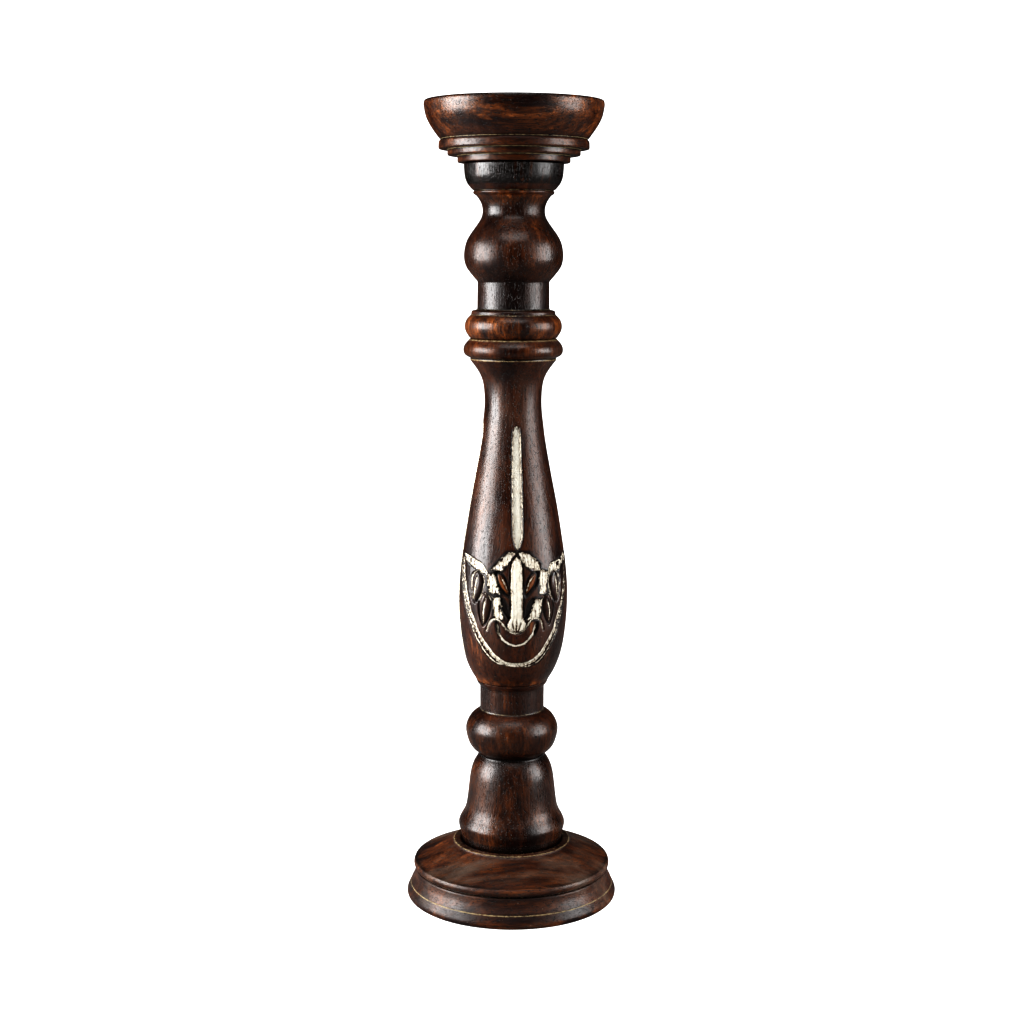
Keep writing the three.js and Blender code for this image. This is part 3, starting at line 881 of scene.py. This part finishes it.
def carved_vase(material):
    """The vase: turned as the others are, then carved, with a dowel's socket at each end."""
    low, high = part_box(VASE_NODE)
    seat, top = low[2] / MM, high[2] / MM
    side_line = vase_side(seat)
    rows, degrees = vase_rows(top - seat), vase_columns()
    angles = np.radians(degrees)
    radii = np.interp(rows, *side_line)[:, None] * np.ones(len(angles))
    points = places_round(radii, angles, rows)
    fields = carve_side(degrees, radii, points, side_line)
    swell = VASE_SWELL * value_noise(points, VASE_SWELL_SIZE, "swell")
    ripple = VASE_RIPPLE * value_noise(points, VASE_RIPPLE_SIZE, "ripple")
    radii = radii + swell + ripple + fields["height"]

    below = socket("lower_dowel", seat, 1)
    above = socket("upper_dowel", top, -1)[::-1]
    sockets = ((len(below), len(above)), (0, 0))
    heights = np.concatenate([below[:, 1], rows + seat, above[:, 1]])
    radii = np.pad(radii, sockets)
    radii[:len(below)] = below[:, :1]
    radii[-len(above):] = above[:, :1]
    mesh, row_of, column_of = grid_mesh("vase_carved", radii, heights, angles, False)

    def on_mesh(values, blank=0.0):
        """The values of a field at every vertex of the mesh, blank in the sockets."""
        return np.pad(values, sockets, constant_values=blank)[row_of, column_of]

    outline = np.stack([radii.max(axis=1), heights], axis=1)
    carved = on_mesh(np.clip(-fields["height"], 0, 1))
    add_wear_and_shade(mesh, VASE_NODE, outline, row_of, VASE_REACH, VASE_WORN_FADE, carved)
    for field in ("paint", "dark", "rub"):
        add_attribute(mesh, field, on_mesh(fields[field], BLANK_FIELDS[field]))
    return finish_piece(mesh, "vase_carved", VASE_NODE, material)


# ---- materials

# How far the fibres and the slower clouds are stretched along each grain.
FIBRE_SCALE = {"x": (0.05, 1, 1), "z": (1, 1, 0.05)}
DRIFT_SCALE = {"x": (0.25, 1, 1), "z": (1, 1, 0.3)}
PIT_SCALE = {"x": (0.35, 1, 1), "z": (1, 1, 0.35)}


def put(socket, value):
    """Links a socket to another's output, or sets its own value."""
    if isinstance(value, bpy.types.NodeSocket):
        socket.id_data.links.new(value, socket)
    else:
        socket.default_value = value


def put_all(node, inputs):
    """Gives a node its inputs by name, with spaces written as underscores."""
    for name, value in inputs.items():
        put(node.inputs[name.replace("_", " ")], value)
    return node


def add_node(tree, kind, **inputs):
    return put_all(tree.nodes.new(kind), inputs)


class Shader:
    """A node material, built up with short calls. Every call returns an output socket."""

    def __init__(self, name):
        self.material = bpy.data.materials.new(name)
        self.material.use_nodes = True
        self.tree = self.material.node_tree
        self.tree.nodes.clear()
        self.surface = self.add("ShaderNodeBsdfPrincipled")
        self.add("ShaderNodeOutputMaterial", Surface=self.surface.outputs[0])
        self.place = self.add("ShaderNodeTexCoord").outputs["Object"]

    def add(self, kind, **inputs):
        return add_node(self.tree, kind, **inputs)

    def set(self, **inputs):
        put_all(self.surface, inputs)

    def attribute(self, name):
        node = self.add("ShaderNodeAttribute")
        node.attribute_name = name
        return node.outputs["Fac"]

    def math(self, operation, first, second):
        node = self.add("ShaderNodeMath")
        node.operation = operation
        put(node.inputs[0], first)
        put(node.inputs[1], second)
        return node.outputs[0]

    def times(self, first, second):
        return self.math("MULTIPLY", first, second)

    def total(self, first, *others):
        for other in others:
            first = self.math("ADD", first, other)
        return first

    def swing(self, noise, amount):
        """Noise from 0 to 1, as a swing about zero."""
        return self.times(self.math("SUBTRACT", noise, 0.5), amount)

    def stretch(self, x, y, z, shift=0.0):
        """The object's coordinates, scaled along each axis and shifted to another part of the noise."""
        moved = (shift, 0.7 * shift, 1.3 * shift)
        node = self.add("ShaderNodeMapping", Vector=self.place, Location=moved, Scale=(x, y, z))
        return node.outputs[0]

    def noise(self, vector, scale, detail=4.0, roughness=0.55, distortion=0.0):
        node = self.add("ShaderNodeTexNoise", Vector=vector, Scale=scale, Detail=detail,
                        Roughness=roughness, Distortion=distortion)
        return node.outputs["Fac"]

    def cell_edges(self, vector, scale):
        """How far each place is from the edges of random cells."""
        node = self.add("ShaderNodeTexVoronoi", Vector=vector, Scale=scale)
        node.feature = "DISTANCE_TO_EDGE"
        return node.outputs["Distance"]

    def rise(self, value, start, end, out_start=0.0, out_end=1.0):
        """A smooth change from one value to another as the input goes from start to end."""
        node = self.add("ShaderNodeMapRange", Value=value, From_Min=start, From_Max=end,
                        To_Min=out_start, To_Max=out_end)
        node.interpolation_type = "SMOOTHSTEP"
        return node.outputs[0]

    def mix(self, share, first, second):
        """From the first colour to the second as the share goes from 0 to 1."""
        node = self.add("ShaderNodeMix", Factor=share)
        node.data_type = "RGBA"
        put(node.inputs[6], first)
        put(node.inputs[7], second)
        return node.outputs[2]

    def bump(self, height, distance, strength=1.0, normal=None):
        node = self.add("ShaderNodeBump", Strength=strength, Distance=distance, Height=height)
        if normal is not None:
            put(node.inputs["Normal"], normal)
        return node.outputs[0]


def wood_patterns(s, grain, shift):
    """The noises and stored values that the wood's colour, gloss and surface share."""
    fibres = s.stretch(*FIBRE_SCALE[grain], shift)
    drift = s.stretch(*DRIFT_SCALE[grain], shift)
    pits = s.noise(s.stretch(*PIT_SCALE[grain], shift + 3), 1100, 2, 0.5)
    stored = {name: s.attribute(name) for name in ("hollow", "edge", "broad", "black", "worn", "pale")}
    return SimpleNamespace(
        drift=drift,
        fibre=s.noise(fibres, 900, 4, 0.65),
        streak=s.noise(fibres, 300, 5, 0.7, 0.4),
        cloud=s.noise(drift, 30, 5, 0.6, 0.3),
        patch=s.noise(drift, 62, 6, 0.65, 0.4),
        speck=s.noise(s.place, 520, 3, 0.6),
        pores=s.rise(pits, 0.60, 0.66),
        cracks=s.rise(s.cell_edges(s.stretch(1, 1, 0.25, shift + 5), 800), 0.0, 0.1, -1.0, 0.0),
        **stored,
    )


def stain_colour(s, wood):
    """Clouded stain, redder in patches, worn thin in places, with dark fibres and pores."""
    colour = s.mix(s.rise(wood.cloud, 0.42, 0.58), DEEP_STAIN, STAIN)
    redness = s.times(s.rise(wood.patch, 0.44, 0.66), s.rise(wood.streak, 0.38, 0.6, 0.7, 1.0))
    colour = s.mix(s.times(redness, 0.5), colour, RED_STAIN)
    warmth = s.rise(s.total(wood.patch, s.times(wood.streak, 0.6)), 0.66, 0.95)
    colour = s.mix(s.times(s.times(wood.worn, warmth), 0.75), colour, WARM_WOOD)
    thin = s.total(
        s.times(wood.cloud, 0.4), s.times(wood.patch, 0.6), s.swing(wood.streak, 0.6),
        s.swing(wood.fibre, 0.3), s.times(wood.worn, 0.06), s.times(wood.edge, 0.04),
    )
    colour = s.mix(s.rise(thin, 0.60, 0.80, 0.0, 0.4), colour, BARE_WOOD)
    colour = s.mix(s.rise(wood.streak, 0.52, 0.40, 0.0, 0.35), colour, DEEP_STAIN)
    colour = s.mix(s.rise(wood.fibre, 0.50, 0.38, 0.0, 0.5), colour, BLACK_LACQUER_AND_SHADE)
    return s.mix(s.times(wood.pores, 0.85), colour, BLACK_LACQUER_AND_SHADE)


def aged_colour(s, wood, colour, residue, bloom_and_sheen):
    """The stain with its scuffs, dust, black bands (one of them painted shadow), a pale film of bloom and
    painted sheen, painted shade in corners and broad hollows, and old glaze.
    """
    scuffs = s.times(s.rise(wood.streak, 0.56, 0.64), s.rise(wood.patch, 0.46, 0.6))
    colour = s.mix(s.times(scuffs, s.rise(wood.worn, 0.2, 0.8, 0.0, 0.7)), colour, BARE_WOOD)
    dust = s.rise(s.noise(s.place, 620, 1, 0.5), 0.76, 0.8, 0.0, 0.6)
    colour = s.mix(dust, colour, PALE_BLOOM_AND_SHEEN)
    # Black bands: black lacquer, and under the bell's bottom painted shadow.
    lacquer_and_shadow = s.times(wood.black, s.rise(wood.streak, 0.62, 0.50, 0.5, 1.0))
    colour = s.mix(lacquer_and_shadow, colour, BLACK_LACQUER_AND_SHADE)
    # A pale film in slow patches: part waxy bloom, part painted sheen, strongest on the base.
    bloom_and_sheen_film = s.rise(s.noise(wood.drift, 34, 6, 0.65, 0.2), 0.45, 0.7, 0.0, 0.03 + 0.3 * bloom_and_sheen)
    colour = s.mix(bloom_and_sheen_film, colour, PALE_BLOOM_AND_SHEEN)
    broad_shade = s.rise(wood.broad, 0.12, 0.6, 0.0, 0.35)
    corner_shade = s.rise(wood.hollow, 0.15, 0.6, 0.0, 0.9)
    colour = s.mix(s.math("MAXIMUM", broad_shade, corner_shade), colour, BLACK_LACQUER_AND_SHADE)
    return s.mix(s.times(residue, 0.75), colour, OLD_GLAZE)


def wood_normal(s, wood):
    """Slow waves under fine fibres and pores, with cracks in the black bands of lacquer and painted
    shadow.
    """
    height = s.total(s.times(wood.fibre, 0.6), s.times(wood.streak, 0.6))
    height = s.math("SUBTRACT", height, s.times(wood.pores, 0.6))
    height = s.total(height, s.times(wood.cracks, s.times(wood.black, 0.3)))
    waves = s.bump(s.noise(s.place, 160, 3, 0.5), 0.0006, 0.4)
    return s.bump(height, 0.0002, 1.0, waves)


def stained_wood(name, grain, bloom_and_sheen=0.0, dull=0.0, carved=False, shift=0.0):
    """Dark stained and lacquered wood, worn bare in places, with its fibres along one axis.

    bloom is a pale film on it, part waxy bloom and part painted sheen, dull is extra roughness, and the
    carved vase adds paint, and stain with painted shade in its cuts.
    """
    s = Shader(name)
    wood = wood_patterns(s, grain, shift)
    residue = s.rise(s.total(wood.pale, s.swing(wood.speck, 1.3)), 0.3, 0.85)
    colour = aged_colour(s, wood, stain_colour(s, wood), residue, bloom_and_sheen)
    roughness = s.total(
        s.rise(s.noise(wood.drift, 60, 4, 0.6), 0.35, 0.65, 0.30, 0.46),
        s.swing(wood.fibre, 0.25), s.times(wood.black, -0.12), s.times(residue, 0.3), dull,
    )
    normal = wood_normal(s, wood)
    if carved:
        colour, roughness, normal = carved_finish(s, wood, colour, roughness, normal)
    s.set(Base_Color=colour, Roughness=roughness, Normal=normal)
    s.set(Coat_Weight=0.2, Coat_Roughness=0.22 + dull, Specular_IOR_Level=0.4)
    return s.material


def carved_finish(s, wood, colour, roughness, normal):
    """The stain and painted shade in the cuts, the rubbed leaves and the chalky paint of the carving."""
    rubbed = s.times(s.attribute("rub"), s.rise(wood.speck, 0.3, 0.6, 0.2, 0.75))
    colour = s.mix(rubbed, colour, WARM_WOOD)
    # The stored dark is stain and painted shade in the cuts and along their edges.
    colour = s.mix(s.times(s.attribute("dark"), 0.93), colour, BLACK_LACQUER_AND_SHADE)
    crumble = s.noise(s.place, 1300, 4, 0.65)
    level = s.total(s.attribute("paint"), s.swing(crumble, 2.0), s.swing(wood.speck, 2.4))
    paint = s.rise(level, -0.25, 0.3)
    flecks = s.rise(s.noise(s.place, 700, 4, 0.7), 0.56, 0.72)
    painted = s.mix(s.times(flecks, 0.35), CREAM_PAINT, STAINED_PAINT)
    thin = s.rise(level, 0.8, 0.0, 0.0, 0.6)
    patchy = s.rise(s.noise(s.place, 210, 4, 0.65), 0.46, 0.64, 0.0, 0.28)
    painted = s.mix(s.math("MAXIMUM", thin, patchy), painted, STAINED_PAINT)
    splits = s.rise(s.cell_edges(s.stretch(1, 1, 0.14), 460), 0.0, 0.09, 0.8, 0.0)
    painted = s.mix(s.times(splits, s.rise(level, 1.6, 0.6)), painted, OLD_CRACK)
    colour = s.mix(paint, colour, painted)
    bare = s.math("SUBTRACT", 1.0, paint)
    roughness = s.total(s.times(roughness, bare), s.times(paint, 0.72))
    lumps = s.times(paint, s.total(s.noise(s.place, 900, 4, 0.6), 0.6))
    return colour, roughness, s.bump(lumps, 0.00018, 0.7, normal)


def bare_dowel():
    """Plain beech dowel, with fine straight fibres."""
    s = Shader("bare_dowel")
    fibre = s.noise(s.stretch(1, 1, 0.05), 1200, 4)
    s.set(Base_Color=s.mix(s.rise(fibre, 0.3, 0.7), DOWEL_WOOD, DOWEL_FIBRE))
    s.set(Roughness=0.7, Normal=s.bump(fibre, 0.0001))
    return s.material


def brass(name, ring_scale):
    """Aged brass: turned marks about the axis, dull tarnish and small scratches."""
    s = Shader(name)
    rings = s.add("ShaderNodeTexWave", Vector=s.place, Scale=ring_scale, Distortion=1.5, Detail=3)
    rings.wave_type = "RINGS"
    rings.rings_direction = "Z"
    patina = s.noise(s.place, 90, 6, 0.65, 0.5)
    spots = s.rise(s.noise(s.place, 420, 4, 0.7), 0.58, 0.7)
    share = s.math("MAXIMUM", s.rise(patina, 0.42, 0.66), s.times(spots, 0.7))
    s.set(Base_Color=s.mix(s.times(share, 0.8), AGED_BRASS, TARNISH))
    s.set(Roughness=s.rise(share, 0, 1, 0.3, 0.62), Metallic=1.0)
    s.set(Normal=s.bump(rings.outputs["Fac"], 0.00004, 0.5, s.bump(patina, 0.0004, 0.3)))
    return s.material


def steel():
    """Zinc-plated steel, for the screw and its washer."""
    s = Shader("zinc_steel")
    cloud = s.noise(s.place, 300, 4, 0.6)
    s.set(Base_Color=s.mix(cloud, STEEL, DULL_STEEL), Metallic=1.0)
    s.set(Roughness=s.rise(cloud, 0.3, 0.7, 0.28, 0.5), Normal=s.bump(cloud, 0.0001, 0.4))
    return s.material


def felt():
    """Dense green felt, with tangled fibres."""
    s = Shader("green_felt")
    tangle = s.noise(s.place, 1600, 6, 0.75, 1.5)
    s.set(Base_Color=s.mix(s.rise(tangle, 0.35, 0.7), FELT_GREEN, FELT_FIBRE))
    s.set(Roughness=0.95, Sheen_Weight=0.5, Sheen_Roughness=0.5, Normal=s.bump(tangle, 0.0006, 0.9))
    return s.material


# ---- stage

# The camera's place is in heights of the object, and its angles are in degrees.
CAMERA_AZIMUTH = -6.0
CAMERA_PITCH = 8.45
CAMERA_ROLL = 0.209
CAMERA_YAW = 0.023
CAMERA_DISTANCE = 2.126
CAMERA_HEIGHT = 0.813
CAMERA_LENS = 60.35
SENSOR_WIDTH = 36

# Azimuth from the camera's and elevation in degrees; distance, width and height in metres; watts.
# All face a point at this share of the object's height.
SOFTBOXES = {
    "softbox_left": (-76, 10, 1.3, 0.95, 0.85, 32),
    "softbox_right": (74, 10, 1.3, 0.8, 0.85, 15),
    "softbox_top": (0, 62, 1.5, 1.2, 0.8, 9),
}
LIGHT_AIM = 0.55

FLOOR_REACH = 6.0
FLOOR_GREY = (0.26, 0.26, 0.26, 1)
FLOOR_GLOW = 0.95
BACKDROP_GLOW = 1.05
BACK_FILL = 0.06
FRONT_FILL = 0.08


def add_floor():
    """A wide pale floor that glows to the camera, so that it meets the background without an edge."""
    mesh = bpy.data.meshes.new("studio_floor")
    corners = [(x * FLOOR_REACH, y * FLOOR_REACH, 0) for x, y in ((-1, -1), (1, -1), (1, 1), (-1, 1))]
    mesh.from_pydata(corners, [], [(0, 1, 2, 3)])
    floor = new_object("studio_floor", mesh)
    s = Shader("studio_floor")
    seen = s.add("ShaderNodeLightPath").outputs["Is Camera Ray"]
    s.set(Base_Color=FLOOR_GREY, Roughness=0.9, Emission_Color=WHITE)
    s.set(Emission_Strength=s.times(seen, FLOOR_GLOW))
    mesh.materials.append(s.material)


def add_world():
    """White to the camera, and a dim fill to everything else, a little stronger from the front."""
    world = bpy.data.worlds.new("studio")
    world.use_nodes = True
    tree = world.node_tree
    tree.nodes.clear()
    direction = add_node(tree, "ShaderNodeTexCoord").outputs["Generated"]
    split = add_node(tree, "ShaderNodeSeparateXYZ", Vector=direction)
    front = add_node(tree, "ShaderNodeMapRange", Value=split.outputs["Y"], From_Min=0.5,
                     From_Max=-0.5, To_Min=BACK_FILL, To_Max=FRONT_FILL)
    fill = add_node(tree, "ShaderNodeBackground", Color=WHITE, Strength=front.outputs[0])
    backdrop = add_node(tree, "ShaderNodeBackground", Color=WHITE, Strength=BACKDROP_GLOW)
    seen = add_node(tree, "ShaderNodeLightPath").outputs["Is Camera Ray"]
    mix = add_node(tree, "ShaderNodeMixShader", Fac=seen)
    put(mix.inputs[1], fill.outputs[0])
    put(mix.inputs[2], backdrop.outputs[0])
    add_node(tree, "ShaderNodeOutputWorld", Surface=mix.outputs[0])
    bpy.context.scene.world = world


def add_softbox(name, azimuth, elevation, distance, width, height, power, aim):
    """A soft rectangular light that faces the axis at a height. Azimuth 0 is in front, at -Y."""
    light = bpy.data.lights.new(name, "AREA")
    light.shape = "RECTANGLE"
    light.size, light.size_y = width, height
    light.energy = power
    lamp = new_object(name, light)
    turn, rise = math.radians(azimuth), math.radians(elevation)
    away = distance * math.cos(rise)
    lamp.location = (away * math.sin(turn), -away * math.cos(turn), aim + distance * math.sin(rise))
    lamp.rotation_euler = (math.pi / 2 - rise, 0, turn)


def add_camera(height):
    """The camera, a little left of the carving's front and looking down."""
    camera = new_object("camera", bpy.data.cameras.new("camera"))
    camera.data.lens = CAMERA_LENS
    camera.data.sensor_width = SENSOR_WIDTH
    turn = math.radians(CAMERA_AZIMUTH)
    distance = CAMERA_DISTANCE * height
    camera.location = (distance * math.sin(turn), -distance * math.cos(turn), CAMERA_HEIGHT * height)
    turned = Matrix.Rotation(math.radians(CAMERA_AZIMUTH + CAMERA_YAW), 3, "Z")
    tilted = Matrix.Rotation(math.radians(90 - CAMERA_PITCH), 3, "X")
    rolled = Matrix.Rotation(math.radians(CAMERA_ROLL), 3, "Z")
    camera.rotation_euler = (turned @ tilted @ rolled).to_euler()
    bpy.context.scene.camera = camera


# ---- the scene

object_height = cad_box[1][2] - cad_box[0][2]
add_camera(object_height)
add_world()
add_floor()
for name, (azimuth, *softbox) in SOFTBOXES.items():
    add_softbox(name, CAMERA_AZIMUTH + azimuth, *softbox, LIGHT_AIM * object_height)
bpy.context.scene.view_settings.view_transform = "Standard"
bpy.context.scene.view_settings.look = "Very High Contrast"

dish_wood = stained_wood("dish_wood", "x")
base_wood = stained_wood("base_wood", "x", bloom_and_sheen=1.6, dull=0.12, shift=2.0)
upper_wood = stained_wood("upper_wood", "z", shift=4.0)
lower_wood = stained_wood("lower_wood", "z", shift=6.0)
carved_wood = stained_wood("carved_wood", "z", bloom_and_sheen=0.3, carved=True, shift=11.0)
pan_brass = brass("pan_brass", 160)
small_brass = brass("pricket_brass", 600)

turned_piece("base_turned", "base_plinth", base_wood, WIDE_SIDES)
turned_piece("lower_stem_turned", "lower_stem", lower_wood)
carved_vase(carved_wood)
turned_piece("upper_stem_turned", "upper_stem", upper_wood)
turned_piece("dish_turned", "candle_dish", dish_wood, WIDE_SIDES)
turned_piece("drip_pan_spun", "drip_pan", pan_brass, PAN_SIDES, wobble=0.03)
turned_piece("pricket_turned", "pricket_spike", small_brass, PRICKET_SIDES, wobble=0.0)
for i in range(1, PIN_COUNT + 1):
    turned_piece(f"pan_pin_{i}_head", f"pan_pin_{i}", small_brass, PIN_SIDES, wobble=0.0)
turned_piece("felt_disc", "felt_pad", felt(), PAN_SIDES, wobble=0.05)

dowel_wood, zinc = bare_dowel(), steel()
carried_over = {
    "lower_dowel": dowel_wood, "upper_dowel": dowel_wood, "dish_dowel": dowel_wood,
    "base_screw": zinc, "screw_washer": zinc,
}
for node, material in carried_over.items():
    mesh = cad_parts[node].data
    mesh.materials.clear()
    mesh.materials.append(material)
